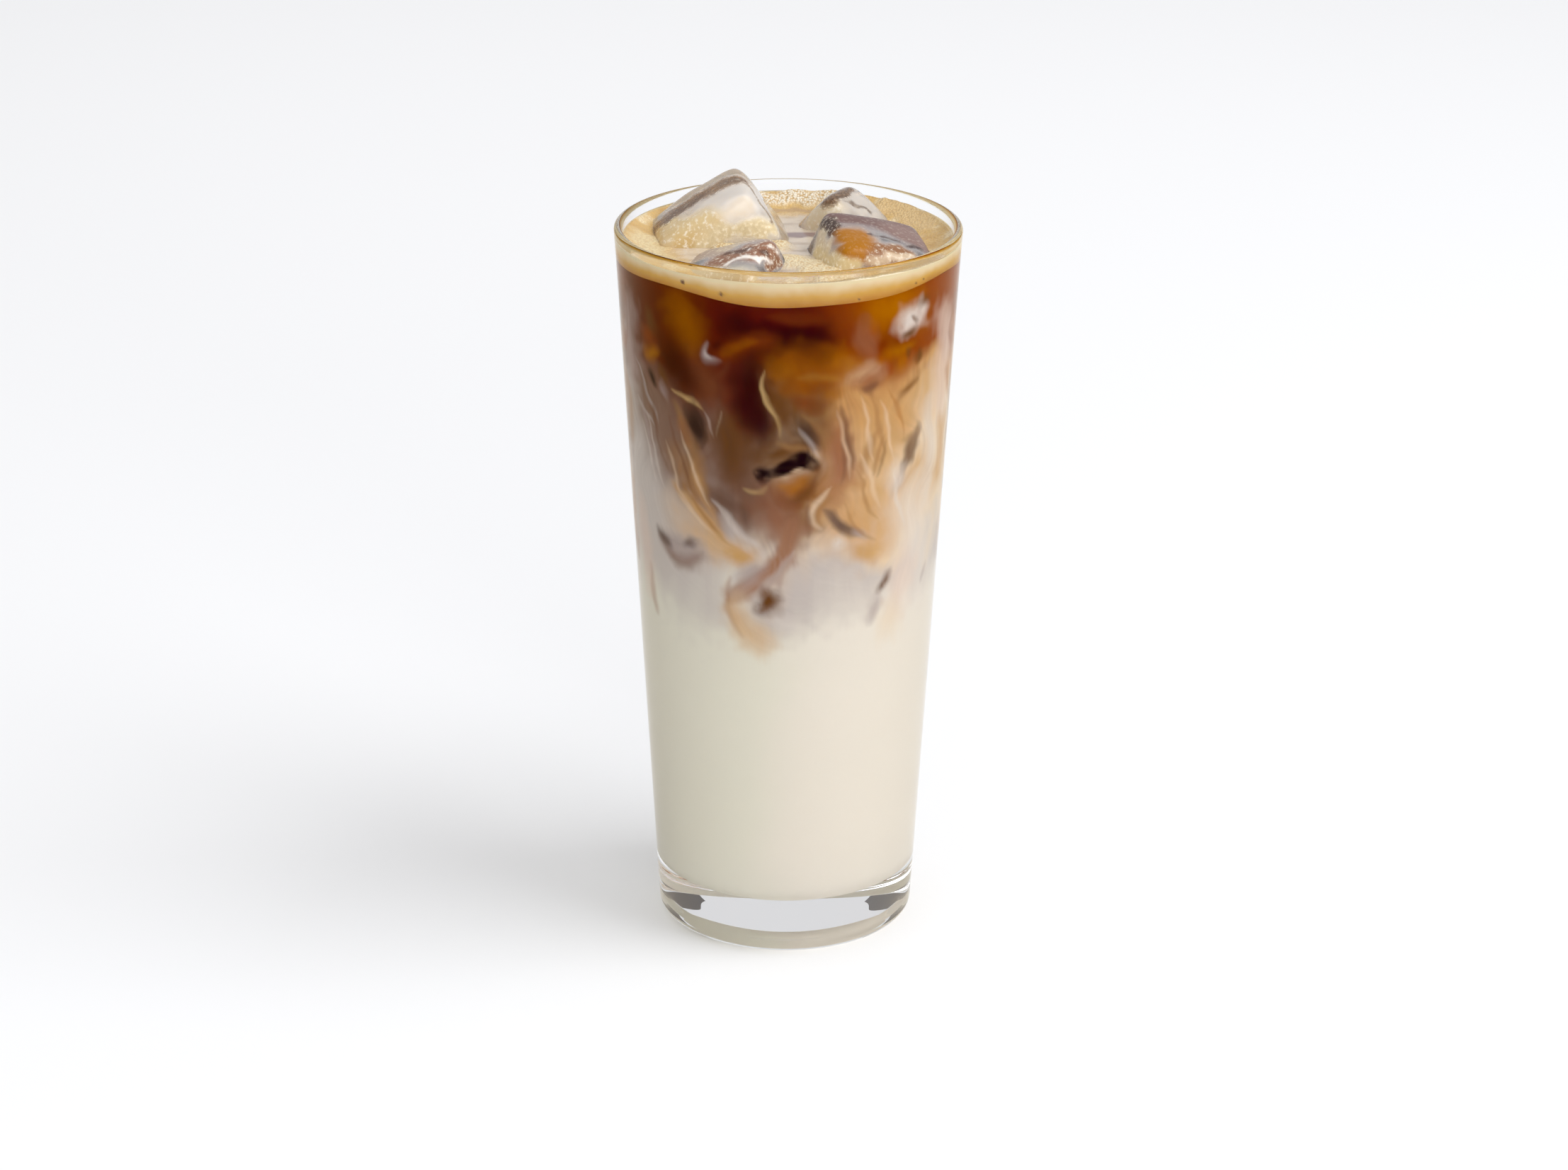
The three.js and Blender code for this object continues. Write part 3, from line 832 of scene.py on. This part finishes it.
        ("mist", 1.6, 0.6, [(-26, 110), (-17, 105), (-10, 100)]),
        ("caramel", 1.4, 0.8, [(-46, 114), (-38, 110), (-29, 106), (-20, 101), (-13, 99)]),
        ("tan", 0.6, 0.7, [(-42, 115), (-35, 109), (-25, 104), (-15, 100)]),
        ("wheat", 0.5, 0.5, [(-44, 112), (-37, 107), (-28, 104)]),
        ("sand", 3, 0.8, [(-31, 103), (-22, 101), (-14, 99)]),
        ("brass", 1.8, 0.6, [(-22, 100), (-15, 99)]),
        ("haze", 3.2, 1, [(-53, 99), (-44, 98), (-34, 99)], 0.7, 0),
        ("smoke", 1.5, 0.7, [(-55, 100), (-49, 96), (-41, 95), (-33, 99)]),
        ("ink", 1.3, 0.9, [(-57, 102), (-53, 100), (-48, 99)]),
        ("ink", 1.1, 0.7, [(-41, 100), (-36, 101)]),
        # the tail, its shadow and the curl where it ends
        ("cocoa", 3, 0.5, [(-11, 116), (-6, 113), (-2, 113)]),
        ("rose", 4, 0.6, [(-6, 113), (-3, 109), (0, 105)]),
        ("haze", 4, 0.45, [(-11, 84), (-5, 82), (2, 84)]),
        ("mist", 4, 0.5, [(-3, 90), (4, 88), (9, 89)]),
        ("fawn", 2.8, 0.95, [(1, 108), (-2, 100), (-8, 95), (-14, 92), (-21, 90)], 0.6, 0.2),
        ("haze", 2.3, 0.8, [(-18, 94), (-14, 95), (-10, 97)]),
        ("fawn", 1.1, 0.7, [(-22, 94), (-23, 89), (-22, 84), (-18, 80)]),
        ("sand", 3.2, 0.8, [(-20, 88), (-19, 83), (-13, 80), (-6, 78)]),
        ("mist", 0.9, 0.5, [(-13, 89), (-7, 92), (-2, 97), (3, 102)]),
        ("umber", 2.3, 0.95, [(-11, 87), (-8, 87), (-4, 91)], 0.7, 0),
        ("pearl", 1.8, 0.4, [(-8, 85), (-1, 83), (6, 83)]),
        # fine hairs where the curtains thin out
        ("wheat", 0.5, 0.5, [(26, 137), (30, 129), (32, 121)]),
        ("tan", 0.5, 0.6, [(29, 138), (34, 130), (37, 122)]),
        ("wheat", 0.5, 0.5, [(33, 136), (38, 129), (41, 120)]),
        ("honey", 0.5, 0.4, [(37, 138), (43, 131), (47, 125)]),
        ("wheat", 0.6, 0.5, [(27, 124), (31, 116), (38, 110)]),
        ("tan", 0.5, 0.6, [(25, 120), (30, 112), (37, 107)]),
        ("pearl", 0.6, 0.5, [(41, 118), (46, 111), (49, 103)]),
        ("tan", 0.5, 0.5, [(22, 112), (27, 105), (35, 102)]),
        ("wheat", 0.5, 0.5, [(-41, 128), (-37, 119), (-30, 111)]),
        ("cocoa", 0.5, 0.6, [(-47, 131), (-43, 122), (-37, 113)]),
        ("wheat", 0.5, 0.4, [(-49, 124), (-45, 115), (-38, 108)]),
        ("cocoa", 0.5, 0.5, [(-56, 133), (-54, 124), (-49, 116)]),
        ("pearl", 0.5, 0.4, [(-59, 128), (-56, 118), (-51, 111)]),
        ("ash", 0.5, 0.4, [(-63, 134), (-60, 124), (-58, 115)]),
        # the sides, where front and back meet
        ("amber", 1.6, 0.7, [(73, 146), (79, 142), (86, 143)], 1, 0.3),
        ("honey", 1.8, 0.7, [(73, 137), (78, 134), (83, 128)], 1, 0.3),
        ("caramel", 2, 0.7, [(70, 127), (75, 120), (73, 112)]),
        ("amber", 1.8, 0.7, [(94, 143), (101, 141), (107, 145)], 1, 0.3),
        ("tan", 2, 0.7, [(101, 135), (106, 128), (103, 118)]),
        ("amber", 6, 0.9, [(80, 156), (90, 153), (100, 156)]),
        ("red", 4, 0.8, [(83, 151), (91, 147), (98, 150)]),
        ("honey", 3, 0.7, [(77, 148), (86, 143), (94, 141), (102, 146)], 1, 0.3),
        ("gold", 1.6, 0.6, [(80, 145), (88, 140), (97, 139)], 1, 0.3),
        ("caramel", 4, 0.8, [(84, 138), (90, 130), (88, 119)]),
        ("tan", 2.4, 0.8, [(97, 141), (100, 130), (94, 120), (98, 109)], 1, -0.5),
        ("cocoa", 2, 0.7, [(81, 135), (85, 125), (81, 115)], 1, 0.4),
        ("wheat", 0.9, 0.6, [(79, 137), (83, 127), (78, 117), (82, 105)]),
        ("straw", 0.6, 0.5, [(88, 134), (92, 125), (90, 115)]),
        ("plum", 1.6, 0.8, [(91, 119), (97, 112)], 0.9, 0),
        ("sand", 5, 0.8, [(86, 112), (93, 104), (88, 97)]),
        ("umber", 1.4, 0.85, [(85, 108), (92, 105)], 0.9, 0),
        ("fawn", 2.4, 0.8, [(99, 108), (95, 99), (100, 91)], 0.8, 0.2),
        ("haze", 3, 0.6, [(79, 98), (84, 89)]),
        # lower right
        ("plum", 1.3, 0.95, [(43, 94), (41, 91), (38, 89)]),
        ("haze", 1.7, 0.75, [(38, 88), (36, 85), (34, 82)]),
        ("blush", 4, 0.6, [(52, 94), (49, 85)]),
        ("wheat", 3.4, 0.5, [(46, 84), (42, 79)]),
        ("haze", 0.8, 0.5, [(67, 92), (64, 87)]),
    ],
}


# Corners of a path are cut twice, which turns it into a curve
def curvePath(path, rounds=2, keep=0.75):
    for step in range(rounds):
        cut = [path[0]]
        for (s0, z0), (s1, z1) in zip(path, path[1:]):
            for share in (keep, 1 - keep):
                cut.append((s0 * share + s1 * (1 - share), z0 * share + z1 * (1 - share)))
        path = cut + [path[-1]]
    return path


# How strongly a stroke covers each point, and the fine streaks that run along it
def brushStroke(across, up, path, halfWidth, softness, lean, ragged, look):
    path = curvePath(path)
    lengths = [math.hypot(b[0] - a[0], b[1] - a[1]) for a, b in zip(path, path[1:])]
    ends = float(np.interp(halfWidth, *look["ends"]))
    start = 0
    nearest = np.full(len(across), 1e9)
    offset = np.zeros(len(across))
    run = np.zeros(len(across))
    fade = np.zeros(len(across))
    for (s0, z0), (s1, z1), length in zip(path, path[1:], lengths):
        ds = s1 - s0
        dz = z1 - z0
        along = np.clip(((across - s0) * ds + (up - z0) * dz) / length ** 2, 0, 1)
        share = (start + along * length) / sum(lengths)
        side = (ds * (up - z0) - dz * (across - s0)) / length
        taper = ends + (1 - ends) * np.sin(np.pi * share) ** look["belly"]
        width = halfWidth * taper * (1 + look["leanReach"] * lean * np.sign(side))
        reach = np.hypot(across - s0 - along * ds, up - z0 - along * dz) / width
        closer = reach < nearest
        nearest = np.where(closer, reach, nearest)
        offset = np.where(closer, side, offset)
        run = np.where(closer, start + along * length, run)
        fade = np.where(closer, taper, fade)
        start += length
    mask = fade * (1 - smooth(1 - softness, 1 + softness, nearest * (1 + ragged)))
    width, length = look["streak"]
    grid = np.stack([offset / width, run / length, np.full(len(run), path[0][0])], 1)
    return mask, noiseAt(grid, 1)


def mixRamp(stops, amounts, palette):
    places = [place for place, name in stops]
    channels = [[palette[name][i] for place, name in stops] for i in range(3)]
    return np.stack([np.interp(amounts, places, channel) for channel in channels], 1)


# Paint that looks like the wanted colour through the glass, which darkens what lies against it
def behindGlass(colour, look):
    return np.clip(colour / (look["wallLight"] + look["wallBack"] * colour), 0, look["brightest"])


# Noise carries the points round the wall and up or down it
def drift(points, across, warps, seed):
    up = points[:, 2]
    for i, (size, reach) in enumerate(warps):
        curl = noiseVectors(points + seed * (i + 1), size) * reach
        across = across + curl[:, 0]
        up = up + curl[:, 2]
    return across, up


# The front's strokes are laid again on the back, half a turn round
def paintSwirlLightAndShade(points, look):
    seeds = look["seeds"]
    palette = {name: hexColour(text) for name, text in look["colours"].items()}
    mmPerDegree = math.radians(1) * look["wallRadius"]
    turn = np.degrees(np.arctan2(points[:, 0], -points[:, 1]))
    side = np.sin(np.radians(turn))
    across, up = drift(points, turn * mmPerDegree, look["warps"], seeds["warp"])
    for a, z, radius, twirl in look["whirls"]:
        ds = across - a * mmPerDegree
        dz = up - z
        twist = np.radians(twirl) * smooth(0, 1, 1 - np.hypot(ds, dz) / radius)
        across = a * mmPerDegree + ds * np.cos(twist) - dz * np.sin(twist)
        up = z + ds * np.sin(twist) + dz * np.cos(twist)

    def flowNoise(width, length, seed):
        wrapped = np.radians(across / mmPerDegree)
        ring = look["wallRadius"] * np.stack([np.sin(wrapped), -np.cos(wrapped)], 1)
        return noiseAt(np.column_stack([ring + seed, up * width / length]), width)

    width, length = look["hair"]
    fine, wide, wider = look["hairMix"]
    hair = fine * flowNoise(width, length, seeds["hair"])
    hair += wide * flowNoise(width * wider, length, seeds["wide"])
    strand = flowNoise(*look["strand"], seeds["strand"])
    base = (up - look["milkTop"]) / (look["coffeeBase"] - look["milkTop"])
    size, slow, byStrand, byHair = look["stir"]
    stir = slow * noiseAt(points + seeds["stir"], size) + byStrand * strand + byHair * hair
    coffee = base + smooth(0, look["stillMilk"], base) * stir
    # painted shade: the half away from the key panel takes the greyer, darker ramp
    size, reach = look["shadedRagged"]
    cool = smooth(*look["coolSide"], reach * noiseAt(points + seeds["cool"], size) - side)[:, None]
    colour = mixRamp(look["litWarmRamp"], coffee, palette) * (1 - cool)
    colour += mixRamp(look["shadedCoolRamp"], coffee, palette) * cool
    byHair, size, reach = look["ragged"]
    ragged = byHair * hair + reach * noiseAt(points + seeds["ragged"], size)

    across, up = drift(points, turn * mmPerDegree, look["strokeWarps"], seeds["stroke"])
    for name, halfWidth, strength, path, *edge in look["strokes"]:
        softness, lean = edge or (1, 0)
        comb = look["comb"] * min(1, look["combWidth"] / halfWidth) * (1 - palette[name].max())
        for halfTurn in (-180, 0, 180):
            route = [((a + halfTurn) * mmPerDegree, z) for a, z in path]
            margin = look["strokeReach"] * halfWidth
            low = np.min(route, axis=0) - margin
            high = np.max(route, axis=0) + margin
            near = (across > low[0]) & (across < high[0]) & (up > low[1]) & (up < high[1])
            if not near.any():
                continue
            shape = (route, halfWidth, softness, lean)
            mask, streaks = brushStroke(across[near], up[near], *shape, ragged[near], look)
            mask = np.clip(mask * strength * (1 + look["hairCover"] * hair[near]), 0, 1)[:, None]
            shade = palette[name] * (1 + comb * streaks)[:, None]
            colour[near] = colour[near] * (1 - mask) + shade * mask
    streaky = smooth(*look["hairFrom"], base) * (1 - look["hairFade"] * smooth(*look["hairTo"], base))
    colour *= 1 + look["hairTone"] * (hair * streaky)[:, None]
    return behindGlass(np.clip(colour, 0, 1), look)


# Flat end of a piece, from the axis out to just short of the wall
def lid(z, look):
    return [(r, z) for r in spread(0, innerRadius(z) - look["lidInset"], look["lidStep"])]


def milkOutline(look):
    bite = look["bite"]
    fillet = glassLook["fillet"]
    corner = innerRadius(filletTop) - fillet
    line = [(r, glassLook["floor"] - bite) for r in spread(0, corner, look["floorStep"])[:-1]]
    line += arc((corner, filletTop), fillet + bite, -90, 0, look["filletSteps"])
    rows = spread(filletTop, look["fineFrom"], look["coarseStep"])[1:]
    rows += spread(look["fineFrom"], look["split"], look["fineStep"])[1:]
    line += [(innerRadius(z) + bite, z) for z in rows]
    return line + lid(look["split"], look)[::-1]


def coffeeOutline(look):
    rows = spread(look["split"], look["top"], look["fineStep"])
    wall = [(innerRadius(z) + look["bite"], z) for z in rows]
    return lid(look["split"], look) + wall + lid(look["top"], look)[::-1]


def makeDrink(look, cutter):
    milk = spinOutline("milkLayer", milkOutline(look), look["turns"])
    coffee = spinOutline("coffeeLayer", coffeeOutline(look), look["turns"])
    for layer in (milk, coffee):
        paintPoints(layer, "swirlLightAndShade", paintSwirlLightAndShade(readPoints(layer), look))
    cutWith(coffee, cutter)
    # milk and coffee poured together: opaque, soft in colour, and no shine of its own behind the glass
    material, tree, shader = newMaterial("milk and coffee, poured and half mixed", {
        "Roughness": 0.6,
        "Specular IOR Level": 0.0,
    })
    plug(tree, shader, {"Base Color": readLayer(tree, "swirlLightAndShade").outputs["Color"]})
    finishPiece(milk, material, "milk", "milk")
    finishPiece(coffee, material, "coffee", "coffee")


# Foam: a ring that climbs the wall and thins to a film between the cubes

foamLook = {
    "line": 159.6,  # underside at the wall
    "wave": (0.9, 3),  # depth and count; it hangs lowest just right of the front
    "lowAngle": 5,
    "waveFrom": 0.5,  # share of the radius
    "ripple": (0.25, 7),
    "film": 161.3,
    "crest": 2.9,
    "crestFrom": 0.78,
    "crestWave": (0.5, 3),
    "bite": 0.5,
    "turns": 480,
    "bandStep": 0.3,
    "ringStep": 0.4,
    "filmStep": 0.8,
    "underStep": 6,
    "inset": 0.2,
    "fineWidth": 12,  # this far in from the wall the rows are close
    "slack": 0.02,
    # size, depth and seed of each noise
    "lumps": [(7, 0.35, 0), (2.2, 0.18, 40), (0.9, 0.08, 80)],
    "tone": [(5, 1, 11), (1.6, 0.5, 5)],
    "ringRagged": [(6, 0.1, 0), (2, 0.05, 0)],
    "filmLump": 0.2,  # share of the lumps where there is no froth
    "ringFrom": (0.66, 0.86),  # shares of the radius where the film turns into the ring
    "filmFroth": 0.1,
    "ringFroth": 0.5,
    "paleFrom": (0.0, 0.7),
    "toastFrom": (0.1, 0.8),
    "toastShare": 0.8,
    "streak": (4, 1.8),  # how many times longer than wide, and the width
    "streakTone": 0.4,
    "darkFrom": (-0.1, 0.8),
    "ragged": (3, 1.6),
    "bubble": 0.55,
    "seam": "#cda972",  # between the bubbles
    "ring": "#d8b26c",
    "pale": "#f0deb6",
    "toast": "#c79a52",
    "filmColour": "#d6c6b2",
    "filmDark": "#b39f8b",
    "bandTop": "#e6d0a2",  # at the wall, seen through the glass
    "bandMid": "#c99539",
    "bandLow": "#a96c04",
    "bandStops": [(0.1, "bandTop"), (0.6, "bandMid"), (1.0, "bandLow")],
    "bandTone": 0.1,
    "hole": "#5c3a1c",
    # what floats on the film: colour, radius, height, bubbles and where it lies in plan
    "dabs": [
        ("#efdfb8", 5, 0.9, 0.8, [(1, -11), (5, -15), (9, -24)]),
        ("#f0e0ba", 3.4, 1.2, 1.0, [(-14, -2.6), (-8, -2.4), (-2, 0)]),
        ("#f6ecd6", 2.4, 0.5, 1.0, [(-12, 33.4), (0, 35.2), (12, 33.4)]),
        ("#dfc08a", 2.6, 0.4, 0.7, [(22, 27), (28, 20.5), (32, 13)]),
        ("#8d7672", 2.0, 0, 0, [(-3, 9.6), (6, 10.4)]),
        ("#b8966a", 1.4, 0, 0.2, [(-6, 29), (4, 30), (14, 29)]),
        ("#e8d4a4", 4, 0.3, 0.6, [(-32, 4), (-30, -8), (-24, -18)]),
    ],
    "pitEdge": (0.6, 1.2),
    # dark pits at the wall: degrees from the front, height, radius
    "pits": [
        (-37, 162.2, 0.55), (-22.5, 160.9, 0.5), (24, 159.8, 0.3), (47, 160.9, 0.3), (51, 161.3, 0.25),
    ],
}


def foamOutline(look):
    edge = innerRadius(look["film"])
    wallTop = look["film"] + look["crest"]
    fineEdge = edge - look["fineWidth"]
    line = [(r, look["line"]) for r in spread(0, edge - 1, look["underStep"])]
    line += [(innerRadius(z) + look["bite"], z) for z in spread(look["line"], wallTop, look["bandStep"])]
    radii = spread(edge - look["inset"], fineEdge, look["ringStep"])
    radii += spread(fineEdge - 1, 0, look["filmStep"])
    return line + [(r, wallTop) for r in radii]


def makeFoam(look, cutter):
    foam = spinOutline("foamHead", foamOutline(look), look["turns"])
    points = readPoints(foam)
    palette = {name: hexColour(text) for name, text in look.items() if isinstance(text, str)}
    angle = np.arctan2(points[:, 0], -points[:, 1])
    radius = np.hypot(points[:, 0], points[:, 1])
    wall = innerRadius(look["film"])
    wallTop = look["film"] + look["crest"]
    share = np.clip(radius / wall, 0, 1)
    upper = (points[:, 2] > wallTop - look["slack"]) & (radius < wall + look["slack"])

    # colour and bubbles of the upper surface, then what floats on it
    ringShare = smooth(*look["ringFrom"], share + noiseSum(points, look["ringRagged"]))
    tone = noiseSum(points, look["tone"])
    ring = blend(palette["ring"], palette["pale"], smooth(*look["paleFrom"], tone)[:, None])
    toasted = look["toastShare"] * smooth(*look["toastFrom"], -tone)[:, None]
    ring = blend(ring, palette["toast"], toasted)
    longer, size = look["streak"]
    streak = noiseAt(points / (longer, 1, 1), size)
    darker = smooth(*look["darkFrom"], streak + look["streakTone"] * tone)[:, None]
    film = blend(palette["filmColour"], palette["filmDark"], darker)
    colours = blend(film, ring, ringShare[:, None])
    bubbles = look["filmFroth"] + look["ringFroth"] * ringShare
    raised = np.zeros(len(points))
    size, reach = look["ragged"]
    plan = points[:, :2] + reach * noiseVectors(points, size)[:, :2]
    for colour, size, height, froth, path in look["dabs"]:
        dab = dabShare(plan, path, size)
        colours = blend(colours, hexColour(colour), dab[:, None])
        bubbles = blend(bubbles, froth, dab)
        raised += height * dab

    # shape: the ring climbs the wall, the underside waves round it
    climb = np.clip((share - look["crestFrom"]) / (1 - look["crestFrom"]), 0, 1) ** 2
    lumps = noiseSum(points, look["lumps"]) * blend(look["filmLump"], 1, np.clip(bubbles, 0, 1))
    height, count = look["crestWave"]
    crest = climb * (look["crest"] + height * np.sin(count * angle))
    topSurface = look["film"] + crest + raised + lumps
    height, count = look["ripple"]
    edgeWave = height * np.sin(count * angle)
    height, count = look["wave"]
    edgeWave -= height * np.cos(count * (angle - math.radians(look["lowAngle"])))
    lift = np.clip((wallTop - points[:, 2]) / (wallTop - look["line"]), 0, 1)
    sunk = points[:, 2] + edgeWave * lift * smooth(look["waveFrom"], 1, share)
    points[:, 2] = np.where(upper, topSurface, sunk)
    writePoints(foam, points)

    # the band at the wall is paler at its top and toasted below, with a few pits
    band = mixRamp(look["bandStops"], lift + look["bandTone"] * tone, palette)
    for turn, height, size in look["pits"]:
        across = (angle - math.radians(turn)) * wall
        hole = 1 - smooth(*look["pitEdge"], np.hypot(across, points[:, 2] - height) / size)
        band = blend(band, palette["hole"], hole[:, None])
    colours = np.where(upper[:, None], colours, behindGlass(band, drinkLook))
    paintPoints(foam, "foam", colours)
    paintPoints(foam, "froth", np.stack([np.where(upper, bubbles, 0)] * 3, 1))
    cutWith(foam, cutter)

    # coffee foam: a wet film between the cubes and matt fine bubbles along the wall and the ice
    material, tree, shader = newMaterial("coffee foam, fine bubbles on a wet film", {})
    place = addNode(tree, "ShaderNodeTexCoord")
    paint = readLayer(tree, "foam")
    froth = readLayer(tree, "froth")
    cells = addNode(tree, "ShaderNodeTexVoronoi", {"Scale": 1 / (look["bubble"] * mm)},
                    {"Vector": place.outputs["Object"]})
    domes = addNode(tree, "ShaderNodeBump", {"Distance": 0.3 * mm, "invert": True},
                    {"Strength": froth.outputs["Fac"], "Height": cells.outputs["Distance"]})
    rough = addNode(tree, "ShaderNodeMapRange", {"To Min": 0.12, "To Max": 0.5},
                    {"Value": froth.outputs["Fac"]})
    seam = addNode(tree, "ShaderNodeMapRange", {"From Min": 0.35, "From Max": 0.75},
                   {"Value": cells.outputs["Distance"], "To Max": froth.outputs["Fac"]})
    plug(tree, shader, {
        "Base Color": tintNode(tree, paint.outputs["Color"], look["seam"], seam.outputs["Result"]),
        "Roughness": rough.outputs["Result"],
        "Normal": domes.outputs["Normal"],
    })
    finishPiece(foam, material, "foam", "foam")


setCamera(cameraLook)
setStudio(studioLook)
cubes = makeIce(iceLook)
cutter = makeIceCutter(cubes, iceLook)
makeDrink(drinkLook, cutter)
makeFoam(foamLook, cutter)
bpy.data.objects.remove(cutter)
makeGlass(glassLook)
